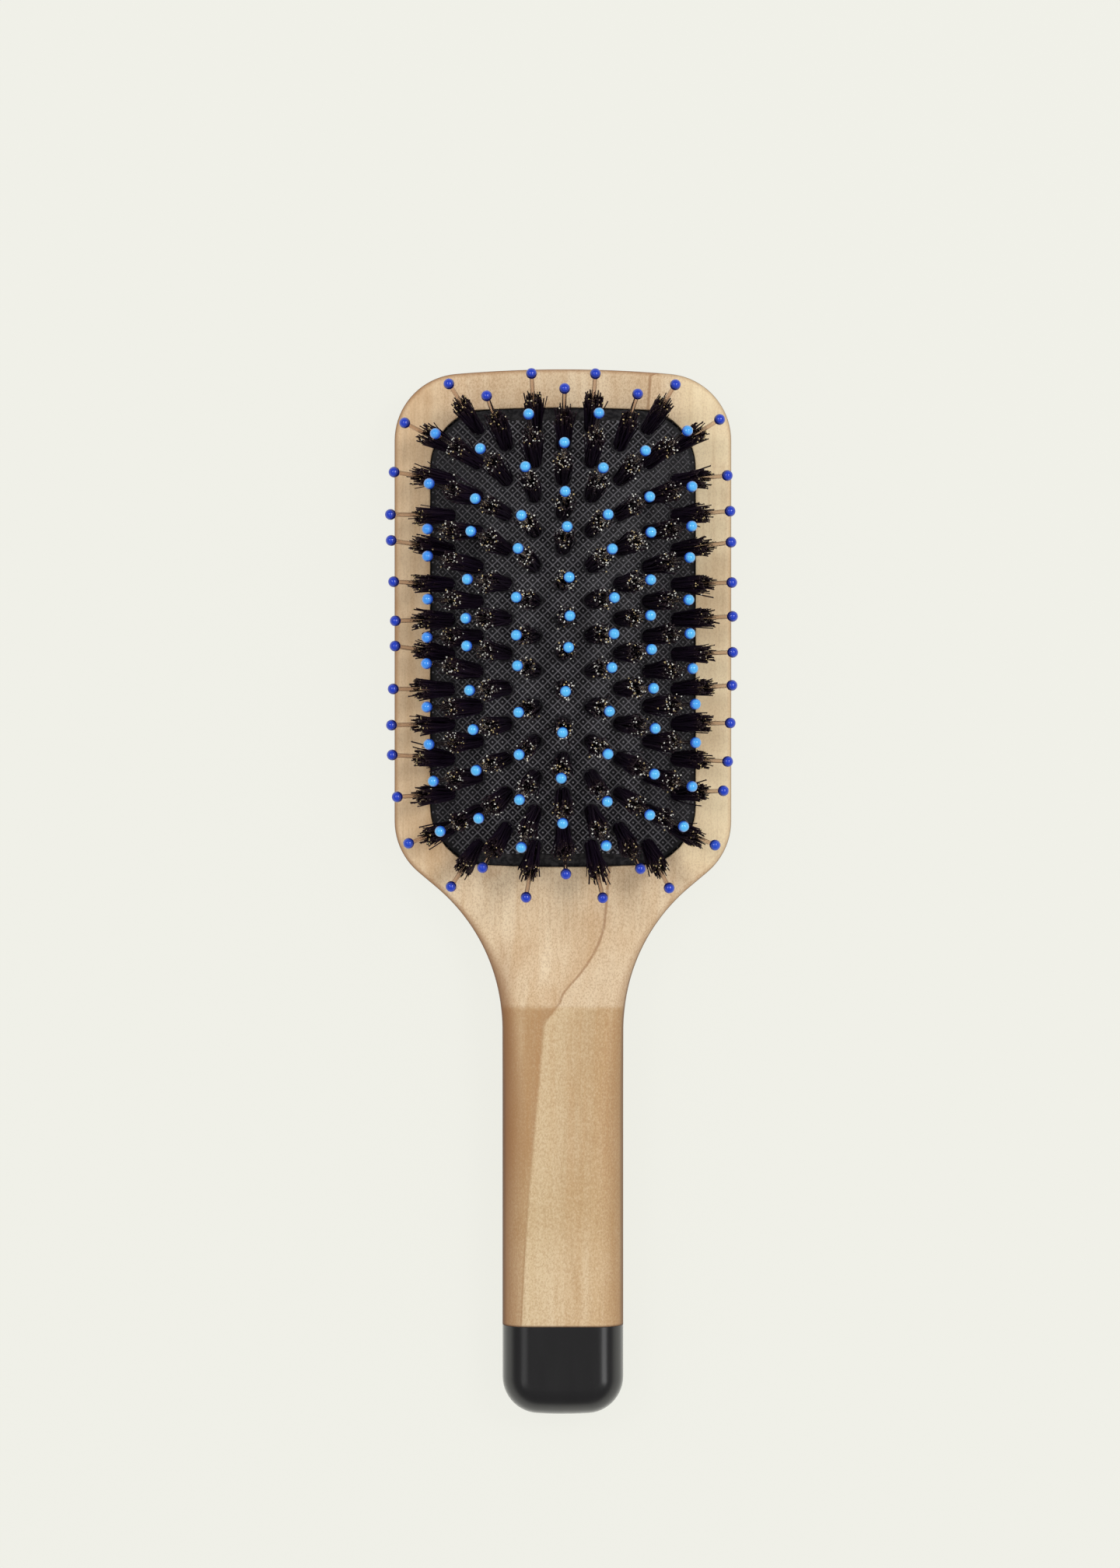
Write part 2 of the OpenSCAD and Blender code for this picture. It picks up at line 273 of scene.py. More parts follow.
connect(choice.outputs[0], nodes["World Output"].inputs[0])


def soft_box(name, place, aim, width, height, watts):
    """A lit panel of that width and height, in metres, turned to face its aim."""
    lamp = bpy.data.lights.new(name, "AREA")
    lamp.shape = "RECTANGLE"
    lamp.size = width
    lamp.size_y = height
    lamp.energy = watts
    panel = put(name, lamp)
    panel.location = place
    panel.rotation_euler = (aim - panel.location).to_track_quat("-Z", "Y").to_euler()


middle = (box_low + box_high) / 2
soft_box("left_box", (-0.57, middle.y + 0.33, 1.1), middle, 0.36, 0.40, 2.6)
soft_box("right_box", (0.57, middle.y + 0.33, 1.1), middle, 0.36, 0.40, 4.2)
soft_box("left_strip", (-0.44, middle.y - 0.3, 1.1), middle, 0.25, 0.5, 0.3)
soft_box("right_strip", (0.68, middle.y - 0.3, 1.1), middle, 0.25, 0.5, 0.9)

EDGE_LEVEL = 0.0105  # height of the wood's upper edges, metres
CAMERA_UP = 0.9  # from that level to the lens
FRAME_TALL = 0.3286  # height of the frame at that level
LOOK_UP = 0.02255  # the frame's middle lies this far up the brush from its own

lens = bpy.data.cameras.new("camera")
lens.sensor_width = 36.0
lens.lens = lens.sensor_width * CAMERA_UP / FRAME_TALL
camera = put("camera", lens)
camera.location = (middle.x - 0.0003, middle.y + LOOK_UP, EDGE_LEVEL + CAMERA_UP)
bpy.context.scene.camera = camera
bpy.context.scene.view_settings.view_transform = "Standard"

# --------------------------------------
# Wooden body: one piece of pale, close-grained hardwood, shaped to outline,
# rounded over along its edges, coved across the neck and routed for the
# cushion, then sealed with a clear satin lacquer; its rounded edges carry painted shade.

MM = 0.001

PADDLE_HALF = 35.25  # half the paddle's width; this and what follows in millimetres
HEAD_REACH = 56.15  # from the cushion's middle to the top of the head
HANDLE_REACH = 162.65  # from the cushion's middle to the butt
HANDLE_HALF = 12.65
PADDLE_T = 12.0
HANDLE_T = 15.8
EDGE_R = 1.1
GRIP_R = 5.5
CORNER_R = 14.0
NECK_R = 39.0
FLANK = np.radians(50)
CROWN_R = 260.0
BUTT_R = 90.0
BUTT_CORNER = 7.7
SHOULDER_Y = -38.45
EDGE_START = -50.0  # where the edge's rounding starts to grow towards the handle's
GRIP_START = -95.0
FACE_FOOT = -52.0  # where the paddle's face ends and plain rungs begin
COVE_START = -59.0
COVE_END = -77.3
DIP_LINE = 18.8 - HANDLE_REACH
COAT_T = 0.2
POCKET_FLOOR = 6.0
CUSHION_GAP = 0.15
POCKET_EASE = 0.25  # easing of the pocket's edge
POCKET_BORDER = 0.65  # flat border drawn round that easing
LIP = 1.7  # wood left over the groove that holds the cushion's bead
BEAD_T = 1.6
BEAD_W = 1.3


def arc(cx, cy, r, start, end, count):
    """Points round an arc and the way each faces: centre + r (cos t, sin t), t from start to end."""
    t = np.radians(np.linspace(start, end, count))
    return np.column_stack([cx + r * np.cos(t), cy + r * np.sin(t), t])


def straight(a, b, facing, count):
    """Points between a and b, ends left out, all facing one way."""
    share = np.linspace(0, 1, count + 2)[1:-1, None]
    line = (1 - share) * np.array(a) + share * np.array(b)
    return np.column_stack([line, np.full(count, np.radians(facing))])


def rounding(y):
    """Radius of the edge at y: small round the paddle, growing as a power 1.5 to the handle's."""
    share = np.clip((y - EDGE_START) / (GRIP_START - EDGE_START), 0, 1)
    return EDGE_R + (GRIP_R - EDGE_R) * share**1.5


def face_height(y):
    """Height of the top face at y: the paddle's, then a hollow arc up to the handle's."""
    rise = HANDLE_T - PADDLE_T
    run = COVE_START - COVE_END
    r = (run**2 + rise**2) / (2 * rise)
    hollow = PADDLE_T + r - np.sqrt(np.maximum(r**2 - (COVE_START - y) ** 2, 0))
    return np.where(y > COVE_START, PADDLE_T, np.where(y < COVE_END + 0.01, HANDLE_T, hollow))


def body_outline():
    """The body's right-hand outline from the middle of the head to the middle of the butt.

    Arcs and straights that meet smoothly: crown, corner, side, shoulder, flank, neck, handle, butt.
    """
    corner_x = PADDLE_HALF - CORNER_R
    crown_y = HEAD_REACH - CROWN_R
    corner_y = crown_y + np.sqrt((CROWN_R - CORNER_R) ** 2 - corner_x**2)
    meet = np.degrees(np.arctan2(corner_y - crown_y, corner_x))
    neck_x = HANDLE_HALF + NECK_R
    flank_end = (corner_x + CORNER_R * np.cos(FLANK), SHOULDER_Y - CORNER_R * np.sin(FLANK))
    neck_top = neck_x - NECK_R * np.cos(FLANK)
    neck_fall = (flank_end[0] - neck_top) / np.tan(FLANK) + NECK_R * np.sin(FLANK)
    neck_y = flank_end[1] - neck_fall
    crease = 180 - np.degrees(np.arcsin((COVE_END - neck_y) / (NECK_R + rounding(COVE_END))))
    butt_x = HANDLE_HALF - BUTT_CORNER
    butt_y = BUTT_R - HANDLE_REACH
    butt_cy = butt_y - np.sqrt((BUTT_R - BUTT_CORNER) ** 2 - butt_x**2)
    over = arc(neck_x, neck_y, NECK_R, 130, crease, 22)
    under = arc(neck_x, neck_y, NECK_R, crease, 180, 8)[1:]
    hollow = np.vstack([over, under]) - [0, 0, np.pi]
    return np.vstack([
        arc(0, crown_y, CROWN_R, 90, meet, 16)[:-1],
        arc(corner_x, corner_y, CORNER_R, meet, 0, 20),
        straight((PADDLE_HALF, corner_y), (PADDLE_HALF, SHOULDER_Y), 0, 52),
        arc(corner_x, SHOULDER_Y, CORNER_R, 0, -50, 12),
        straight(flank_end, over[0, :2], -50, 1),
        hollow,
        straight((HANDLE_HALF, neck_y), (HANDLE_HALF, GRIP_START), 0, 6),
        straight((HANDLE_HALF, GRIP_START + 0.01), (HANDLE_HALF, DIP_LINE), 0, 12),
        [[HANDLE_HALF, DIP_LINE, 0]],
        straight((HANDLE_HALF, DIP_LINE), (HANDLE_HALF, butt_cy), 0, 5),
        arc(butt_x, butt_cy, BUTT_CORNER, 0, -86.2, 14),
        arc(0, butt_y, BUTT_R, -86.6, -90, 4),
    ])


EDGE_STEPS = 9  # flats in each quarter of the rounded edge
FLAT_STRIP = 0.35  # narrow flat strip beside each rounding, which keeps the faces flat


def edge_ribs(line, skin):
    """The section at each point of an outline, from the flat back round the edge to the face.

    Two quarter circles of the rounding's radius, joined by the upright side, all taken in by
    skin; the radius, less skin, times (1 - cos a, sin a) is set in from the outline.
    """
    r = rounding(line[:, 1])[:, None]
    out = np.column_stack([np.cos(line[:, 2]), np.sin(line[:, 2])])
    top = face_height(line[:, 1] - r[:, 0] * out[:, 1])[:, None]
    a = np.radians(np.linspace(-90, 0, EDGE_STEPS + 1))[None, :]
    low_in = r - (r - skin) * np.cos(a)
    low_z = r + (r - skin) * np.sin(a)
    high_in = r - (r - skin) * np.cos(-a[:, ::-1])
    high_z = top - r + (r - skin) * np.sin(-a[:, ::-1])
    inset = np.hstack([r + FLAT_STRIP, low_in, high_in, r + FLAT_STRIP])
    z = np.hstack([low_z[:, :1], low_z, high_z, high_z[:, -1:]])
    xy = line[:, None, :2] - inset[:, :, None] * out[:, None, :]
    return np.concatenate([xy, z[:, :, None]], axis=2)


def both_sides(ribs):
    """Right-hand ribs and their mirror images, once round; ribs on the middle line come once."""
    start = 1 if abs(ribs[0, 0, 0]) < 1e-9 else 0
    mirrored = ribs[::-1][1:len(ribs) - start] * [-1, 1, 1]
    return np.concatenate([ribs, mirrored])


CUSHION_HALF_W = 27.6
CUSHION_HALF_L = 47.9
CUSHION_CORNER = 12.5
END_BOW = 320.0  # radius of the cushion's slightly bowed ends


def pocket_reach(grow, angle):
    """How far the cushion's outline, grown by that much, reaches from the middle at each angle.

    A rounded oblong whose two ends are slightly bowed arcs, walked finely and read by angle.
    """
    w = CUSHION_HALF_W + grow
    l = CUSHION_HALF_L + grow
    r = CUSHION_CORNER + grow
    bow = END_BOW + grow
    side = np.array([[w, 0], [w, l - r]])
    corner = arc(w - r, l - r, r, 0, 90, 400)[:, :2]
    end = np.column_stack([np.linspace(w - r, 0, 200), np.full(200, l)])
    quarter = np.vstack([side, corner, end[1:]])
    across = quarter[:, 0]
    quarter[:, 1] = np.minimum(quarter[:, 1], l - bow + np.sqrt(bow**2 - across**2))
    turn = np.arctan2(quarter[:, 1], quarter[:, 0])
    reach = np.hypot(quarter[:, 0], quarter[:, 1])
    folded = np.abs(np.arctan2(np.sin(angle), np.abs(np.cos(angle))))
    along_side = w / np.maximum(np.cos(folded), 1e-9)
    return np.where(folded < turn[1], along_side, np.interp(folded, turn, reach))


def make_mesh(name, points, *face_sets):
    """A mesh from points in millimetres and arrays of faces, one row of corner numbers a face."""
    mesh = bpy.data.meshes.new(name)
    flat = [faces.ravel() for faces in face_sets]
    sizes = np.concatenate([np.full(len(f), f.shape[1]) for f in face_sets])
    corners = np.concatenate(flat).astype(np.int32)
    mesh.vertices.add(len(points))
    mesh.vertices.foreach_set("co", (points * MM).astype(np.float32).ravel())
    mesh.loops.add(len(corners))
    mesh.loops.foreach_set("vertex_index", corners)
    mesh.polygons.add(len(sizes))
    mesh.polygons.foreach_set("loop_start", (np.cumsum(sizes) - sizes).astype(np.int32))
    mesh.polygons.foreach_set("loop_total", sizes.astype(np.int32))
    mesh.update(calc_edges=True)
    mesh.validate()
    return mesh


def carry(mesh, name, values):
    """Gives each point of the mesh a number of that name."""
    layer = mesh.attributes.new(name, "FLOAT", "POINT")
    layer.data.foreach_set("value", np.asarray(values, np.float32).ravel())


def grid_faces(rows, cols, base=0, round_rows=False, round_cols=False):
    """Four-cornered faces between neighbours of a grid of points, closed round where asked."""
    i = np.arange(rows if round_rows else rows - 1)
    j = np.arange(cols if round_cols else cols - 1)
    i, j = np.meshgrid(i, j, indexing="ij")
    k = (i + 1) % rows
    m = (j + 1) % cols
    corners = [i * cols + j, k * cols + j, k * cols + m, i * cols + m]
    return base + np.stack(corners, axis=-1).reshape(-1, 4)


def show(name, mesh, finish, body, stands_for=()):
    """Puts a piece in the scene in its finish, on its body, in place of its solids."""
    piece = put(name, mesh)
    mesh.materials.append(finish.material)
    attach(piece, body)
    if stands_for:
        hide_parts(*stands_for)
    return piece


def smooth(mesh, crease):
    """Shades a mesh smooth, but keeps edges sharper than crease degrees."""
    mesh.shade_smooth()
    mesh.set_sharp_from_angle(angle=np.radians(crease))


def wooden_mesh():
    """The whole body as one closed skin: ribs round the edge, rungs over back and handle,
    and rings from the paddle's edge in to the routed pocket and across its floor."""
    line = body_outline()
    dip = int(np.argmin(np.abs(line[:, 1] - DIP_LINE)))
    ribs = np.concatenate([edge_ribs(line[:dip + 1], 0), edge_ribs(line[dip:], COAT_T)])
    right = len(ribs)
    skin = both_sides(ribs)
    count, levels = skin.shape[:2]
    top = levels - 1
    faces = [grid_faces(count, levels, round_rows=True)[:, ::-1]]

    # rungs join rib i on the right to its mirror image; the middle line's ribs end in a point
    i = np.arange(1, right - 2)
    rungs = np.column_stack([i, i + 1, count - i - 1, count - i])
    ends = np.array([[0, 1, count - 1], [right - 1, right, right - 2]])
    faces += [rungs * levels, ends * levels]
    foot = int(np.argmax(skin[:right, top, 1] < FACE_FOOT))
    faces.append(rungs[foot:, ::-1] * levels + top)
    faces.append(ends[1:, ::-1] * levels + top)

    # the paddle's face runs from a loop of rib points, closed across its foot by a chord
    chord_count = 44
    chord = np.linspace(skin[foot, top], skin[foot, top] * [-1, 1, 1], chord_count + 2)[1:-1]
    chord_ids = count * levels + np.arange(chord_count)
    right_ids = np.arange(foot + 1) * levels + top
    left_ids = np.arange(count - foot, count) * levels + top
    outer = np.concatenate([right_ids, chord_ids, left_ids])
    points = np.concatenate([skin.reshape(-1, 3), chord])
    angle = np.arctan2(points[outer, 1], points[outer, 0])
    apron = [right_ids[-1], *chord_ids, left_ids[0], left_ids[0] - levels, right_ids[-1] + levels]
    faces.append(np.array([apron]))

    # rings step in to the pocket: eased edge, wall, groove for the bead, wall, floor
    quarter = np.radians([0, 30, 60, 90])
    groove = PADDLE_T - LIP
    groove_foot = groove - BEAD_T - 2 * CUSHION_GAP
    deep = BEAD_W + CUSHION_GAP
    grows = [CUSHION_GAP + POCKET_BORDER,
             *(CUSHION_GAP + POCKET_EASE * (1 - np.sin(quarter))),
             CUSHION_GAP, deep, deep, CUSHION_GAP, CUSHION_GAP]
    heights = [PADDLE_T, *(PADDLE_T - POCKET_EASE * (1 - np.cos(quarter))),
               groove, groove, groove_foot, groove_foot, POCKET_FLOOR]
    reach = np.array([pocket_reach(grow, angle) for grow in grows])
    z = np.broadcast_to(np.array(heights)[:, None], reach.shape)
    rings = np.stack([reach * np.cos(angle), reach * np.sin(angle), z], axis=-1)
    base = len(points)
    size = len(outer)
    here = np.arange(size)
    after = np.roll(here, -1)
    last = base + (len(grows) - 1) * size
    centre = base + len(grows) * size
    faces.append(np.column_stack([outer, base + here, base + after, outer[after]]))
    faces.append(grid_faces(len(grows), size, base, round_cols=True))
    faces.append(np.column_stack([last + after, last + here, np.full(size, centre)]))
    points = np.concatenate([points, rings.reshape(-1, 3), [[0, 0, POCKET_FLOOR]]])
    mesh = make_mesh("wooden_paddle", points, *faces)
    turned = np.zeros(len(points))
    turned[:count * levels] = np.tile(edge_turn(), count)
    carry(mesh, "turned", turned)
    return mesh


def edge_turn():
    """How far each point of a rib has turned over the edge: the sine of its slope, 0 flat, 1 upright."""
    lean = np.sin(np.radians(np.linspace(0, 90, EDGE_STEPS + 1)))
    return np.concatenate([[0], lean, lean[::-1], [0]])


LATE_WOOD = 9.7  # where the one strong growth line crosses the neck, from the middle
LAYER_TILT = 3.0  # the layers slant this much sideways for each millimetre of height
LAYER_DRIFT = 0.083  # and this much for each millimetre along the brush
KNEE = 2.4  # the line's sidestep where the cove meets the handle


def wood_finish():
    """Clear satin lacquer on pale wood.

    A layer number, the distance from one slanting growth layer, gives the growth line, the
    streaks along it and the two tones either side of it, so the figure runs through the solid.
    Fine pores speckle it all over. The edges carry painted shade, browner the further they turn;
    painted light makes the margins beside the cushion and the cove paler, and painted shade darkens the
    left of the head and neck.
    """
    f = Finish("lacquered_pale_wood", specular_ior_level=0.3)
    place = f.place()
    x, y, z = f.split(place)
    sway = f.noise(f.stretch(place, 0.05, 0.02, 0.05), 1.0, 1.0) - 0.5
    from_knee = (y - COVE_END) * 0.45
    knee = (-(from_knee * from_knee)).math("EXPONENT") * KNEE
    layer = x - LATE_WOOD - (y + 50.0) * LAYER_DRIFT + (z - PADDLE_T) * LAYER_TILT - knee
    layer = layer + sway * 1.2
    grain = f.join(x * 0.3 + layer * 0.05, y * 0.016, z * 0.3)
    streak = f.noise(grain, 1.0, 4.0, 0.6)
    hair = f.noise(f.join(x * 1.4, y * 0.06, z * 1.4), 1.0, 3.0, 0.6)
    pore = f.noise(f.stretch(place, 3.2, 2.1, 3.2), 1.0, 3.0, 0.75)
    cloud = f.noise(f.stretch(place, 0.06, 0.04, 0.06), 1.0, 2.0, 0.5)
    band = f.noise(f.join(x * 0.34 + layer * 0.04, y * 0.012, z * 0.34), 1.0, 3.0, 0.65)
    smear = f.noise(f.stretch(place, 0.16, 0.07, 0.16), 1.0, 2.0, 0.5, 0.4)
    line = f.step(abs(layer), 0.05, 0.5, 1.0, 0.0)
    halo = f.step(layer, -6.0, 0.0) * f.step(layer, 0.0, 0.7, 1.0, 0.0)
    pale_side = f.step(layer, -0.4, 0.6)

    # places: the head, beside the cushion, the cove, the handle and its butt end
    head = f.step(y, -52.0, -44.0)
    beside = f.step(abs(x), CUSHION_HALF_W - 6, CUSHION_HALF_W) * head
    left_head_shade = f.step(x, -8.0, -32.0) * head
    cove = f.step(y, COVE_END - 0.6, COVE_END + 0.6) * f.step(y, -62.0, -70.0)
    left_neck_shade = f.step(x, -8.5, -12.5) * f.step(y, -60.0, -74.0) * f.step(y, -98.0, -84.0)
    grip = f.step(y, COVE_END + 0.8, COVE_END - 0.8)
    pale_grip = pale_side * grip
    tan = grip * f.step(y, -135.0, -108.0)
    amber = (1 - pale_side) * grip * f.step(y, -126.0, -104.0, 0.3, 1.0)
    wicked = f.step(y, DIP_LINE + 0.45, DIP_LINE + 0.05)
    grit = 0.36 - beside * 0.18 - amber * 0.12

    # edges: painted shade, browner the further they turn, but less so on the upright flank of the paddle
    turned = f.value_of("turned")
    flank = f.step(z, 2.0, 3.5) * f.step(z, 9.6, 8.0) * f.step(turned, 0.9, 1.0)
    edge_shade = (turned ** 1.2) * (0.86 + amber * 0.12 - pale_side * 0.4) * (1 - flank * 0.75)

    colour = f.layers(
        (226, 196, 157),
        (f.step(streak, 0.3, 0.7), (242, 219, 184)),
        # painted light: the margins beside the cushion are painted paler, more so on the right, to lift
        # the shade the tufts cast there
        (beside * f.step(x, -20.0, 20.0, 0.25, 0.7), (255, 226, 176)),
        (beside * f.step(x, 0.0, 30.0) * 0.6, (255, 238, 198)),
        # painted shade: the left of the head is painted darker and oranger
        (left_head_shade * 0.22, (214, 160, 112)),
        (f.step(cloud, 0.42, 0.7) * 0.45, (200, 160, 114)),
        (f.step(hair, 0.48, 0.74) * 0.26, (186, 146, 102)),
        (f.step(smear, 0.58, 0.76) * 0.35, (182, 138, 94)),
        (pale_side * 0.2, (238, 214, 178)),
        # painted light: the cove, which faces up the brush towards the lamps, is painted paler
        (pale_side * cove * 0.35, (244, 224, 192)),
        (halo * 0.15, (200, 160, 118)),
        (line * (0.66 - tan * 0.36), (160, 116, 78)),
        (tan * 0.5, (174, 140, 88)),
        (amber * 0.36, (168, 118, 66)),
        (f.step(band, 0.47, 0.66) * (0.12 + grip * 0.14), (190, 142, 88)),
        (pale_grip * f.step(layer, 9.0, 2.0) * 0.36, (234, 212, 172)),
        (pale_grip * f.step(layer, 8.0, 17.0) * 0.26, (200, 150, 98)),
        (halo * grip * 0.2, (158, 108, 62)),
        (f.step(y, -104.0, -124.0) * 0.28, (186, 160, 110)),
        (f.step(pore, 0.47, 0.63) * grit, (166, 122, 80)),
        (f.step(pore, 0.48, 0.35) * grit * 0.55, (248, 230, 200)),
        # painted shade: the rounded edges browner and darker the further they turn, with a darker
        # painted line where they turn furthest
        (edge_shade, (150, 98, 56)),
        (f.step(turned, 0.82, 0.97) * (1 - flank) * 0.62, (96, 60, 36)),
        # painted shade: a darker band down the left rounding of the neck
        (left_neck_shade * 0.42, (150, 104, 64)),
        (wicked * 0.75, (84, 52, 34)))
    rough = f.step(pore, 0.3, 0.7, 0.6, 0.45)
    relief = f.bump(pore * 0.6 + hair, 0.00002, 0.5)
    f.feed(base_color=colour, roughness=rough, normal=relief)
    return f


wooden = show("wooden_paddle", wooden_mesh(), wood_finish(), "wooden_body",
              ["paddle_handle"])
smooth(wooden.data, 20)

# --------------------------------------
# Lacquered end: the butt is dipped several times in black lacquer, which
# makes a thin cup with an eased brim, flush with the wood above it.

BRIM = 0.1  # easing of the cup's brim


def cup_mesh():
    """A closed cup: an outer skin over the butt, an inner one set in by the coat, and a brim."""
    line = body_outline()
    dip = int(np.argmin(np.abs(line[:, 1] - DIP_LINE)))
    line = line[dip:]
    outer_line = np.vstack([line[:1], line[:1] - [0, BRIM, 0], line[1:]])
    outer_skin = np.zeros((len(outer_line), 1))
    outer_skin[0] = BRIM * 0.8
    shells = [both_sides(edge_ribs(outer_line, outer_skin)),
              both_sides(edge_ribs(line, COAT_T))]
    faces = []
    mouths = []
    base = 0
    for shell, turn in zip(shells, (1, -1)):
        count, levels = shell.shape[:2]
        half = count // 2
        i = np.arange(half - 1)
        rungs = np.column_stack([i, i + 1, count - 2 - i, count - 1 - i])
        tip = np.array([[half - 1, half, half + 1]])
        back = np.arange(levels)
        faces += [base + grid_faces(count, levels)[:, ::-turn],
                  base + rungs[:, ::turn] * levels,
                  base + tip[:, ::turn] * levels,
                  base + rungs[:, ::-turn] * levels + levels - 1,
                  base + tip[:, ::-turn] * levels + levels - 1]
        mouths.append(base + np.concatenate([back, (count - 1) * levels + back[::-1]]))
        base += count * levels
    outer, inner = mouths
    faces.append(np.column_stack([inner, np.roll(inner, -1), np.roll(outer, -1), outer]))
    points = np.concatenate([shell.reshape(-1, 3) for shell in shells])
    return make_mesh("lacquered_end", points, *faces)


def lacquer_finish():
    """Glossy black lacquer: faint ripples from the dipping and fine dust in the coat."""
    f = Finish("black_dip_lacquer", specular_ior_level=0.35, coat_weight=1.0, coat_ior=1.5,
               coat_roughness=0.22)
    place = f.place()
    ripple = f.noise(f.stretch(place, 0.35, 0.05, 0.35), 1.0, 2.0)
    dust = f.noise(place, 3.0, 2.0)
    colour = f.layers((13, 11, 14), (f.step(dust, 0.6, 0.8) * 0.5, (30, 27, 32)))
    rough = f.step(ripple, 0.3, 0.7, 0.3, 0.38)
    relief = f.bump(ripple + dust * 0.12, 0.00005, 0.3)
    f.feed(base_color=colour, roughness=rough, normal=relief)
    return f


cup = show("lacquered_end", cup_mesh(), lacquer_finish(), "wooden_body",
           ["lacquer_dip"])
smooth(cup.data, 20)

# --------------------------------------
# Rubber cushion: a thin crowned sheet moulded in black rubber, with a bead
# round its rim snapped into the groove, air under it, a lattice of fine ribs
# over it and a small collar round each tuft.

RIM_Z = PADDLE_T - 0.5
DOME_H = 9.5
RUBBER_T = 1.4
DOME_GRID = (90, 61)  # rows along the dome's straight part, and columns across it


def half_width(y, grow):
    """Half the cushion's width at y: straight, then rounded off at the corners."""
    r = CUSHION_CORNER + grow
    past = np.maximum(np.abs(y) - (CUSHION_HALF_L - CUSHION_CORNER), 0)
    return CUSHION_HALF_W + grow - r + np.sqrt(np.maximum(r**2 - past**2, 0))


def crown(x, y):
    """Height of the dome: (1 - u squared)(1 - |v| cubed) of its rise, u and v shares of half
    its width and length."""
    u = np.clip(x / half_width(y, 0), -1, 1)
    v = np.clip(np.abs(y) / CUSHION_HALF_L, 0, 1)
    return RIM_Z + DOME_H * (1 - u**2) * (1 - v**3)


def crown_normal(x, y):
    """The dome's outward direction, from its slopes over a hair's breadth each way."""
    d = 0.01
    sx = (crown(x + d, y) - crown(x - d, y)) / (2 * d)
    sy = (crown(x, y + d) - crown(x, y - d)) / (2 * d)
    n = np.stack([-sx, -sy, np.ones_like(sx)], axis=-1)
    return n / np.linalg.norm(n, axis=-1, keepdims=True)


def cushion_skin(grow, rise, rows, cols):
    """The dome as a grid, u across and rows along it, finely spaced round the corners."""
    corner = CUSHION_CORNER + grow
    end = CUSHION_HALF_L - CUSHION_CORNER
    turn = np.radians(np.linspace(0, 90, rows // 6 + 1))
    y = np.concatenate([-end - corner * np.cos(turn), np.linspace(-end, end, rows)[1:-1],
                        end + corner * np.sin(turn)])[:, None]
    u = np.linspace(-1, 1, cols)[None, :]
    w = half_width(y, grow)
    v = np.abs(y) / (CUSHION_HALF_L + grow)
    bow = v**8 * (u * w) ** 2 / (2 * END_BOW)
    z = RIM_Z + rise * (1 - u**2) * (1 - v**3)
    return np.stack([u * w, np.broadcast_to(y, z.shape) - np.sign(y) * bow, z], axis=-1)


def rim_walk(rows, cols):
    """The grid's own edge, once round, as point numbers."""
    last = (rows - 1) * cols
    return np.concatenate([np.arange(cols - 1), np.arange(cols - 1, last + cols - 1, cols),
                           last + np.arange(cols - 1, 0, -1), np.arange(last, 0, -cols)])


def membrane():
    """The rubber sheet, closed: crowned outside, inner face a wall's thickness in, beaded rim."""
    outer = cushion_skin(0, DOME_H, *DOME_GRID)
    inner = cushion_skin(-RUBBER_T, DOME_H - RUBBER_T, *DOME_GRID)
    rows, cols = outer.shape[:2]
    walk = rim_walk(rows, cols)
    bead_top = PADDLE_T - LIP - CUSHION_GAP
    levels = [(0, bead_top), (BEAD_W, bead_top), (BEAD_W, bead_top - BEAD_T),
              (-RUBBER_T, bead_top - BEAD_T)]
    edges = [cushion_skin(grow, 0, *DOME_GRID).reshape(-1, 3)[walk] * [1, 1, 0] + [0, 0, z]
             for grow, z in levels]
    points = np.concatenate([outer.reshape(-1, 3), inner.reshape(-1, 3), *edges])
    n = rows * cols
    m = len(walk)
    bands = [walk, *[2 * n + k * m + np.arange(m) for k in range(4)], n + walk]
    faces = [grid_faces(rows, cols)[:, ::-1], grid_faces(rows, cols, n)]
    faces += [np.column_stack([a, b, np.roll(b, -1), np.roll(a, -1)])
              for a, b in zip(bands[:-1], bands[1:])]
    return points, faces


RIB_PITCH = 1.48  # spacing of the moulded ribs
RIB_COUNT = 35  # ribs tried each way from the middle one
RIB_SPAN = 72  # half the length that each is tried over, sampled SAMPLES times a millimetre
SAMPLES = 10
RIB_STEPS = 56  # sections along a rib
RIB_HALF = 0.17  # half a rib's width at its foot
RIB_RISE = 0.17
RIB_FADE = 1.5  # length over which a rib rises at each end
RIBBED_HALF = 45.3  # the ribs stop this far from the middle, lengthways
RIB_MARGIN = 0.9  # and this far inside the cushion's sides
FEWEST = 60  # samples a rib needs on the dome; shorter stubs are left out


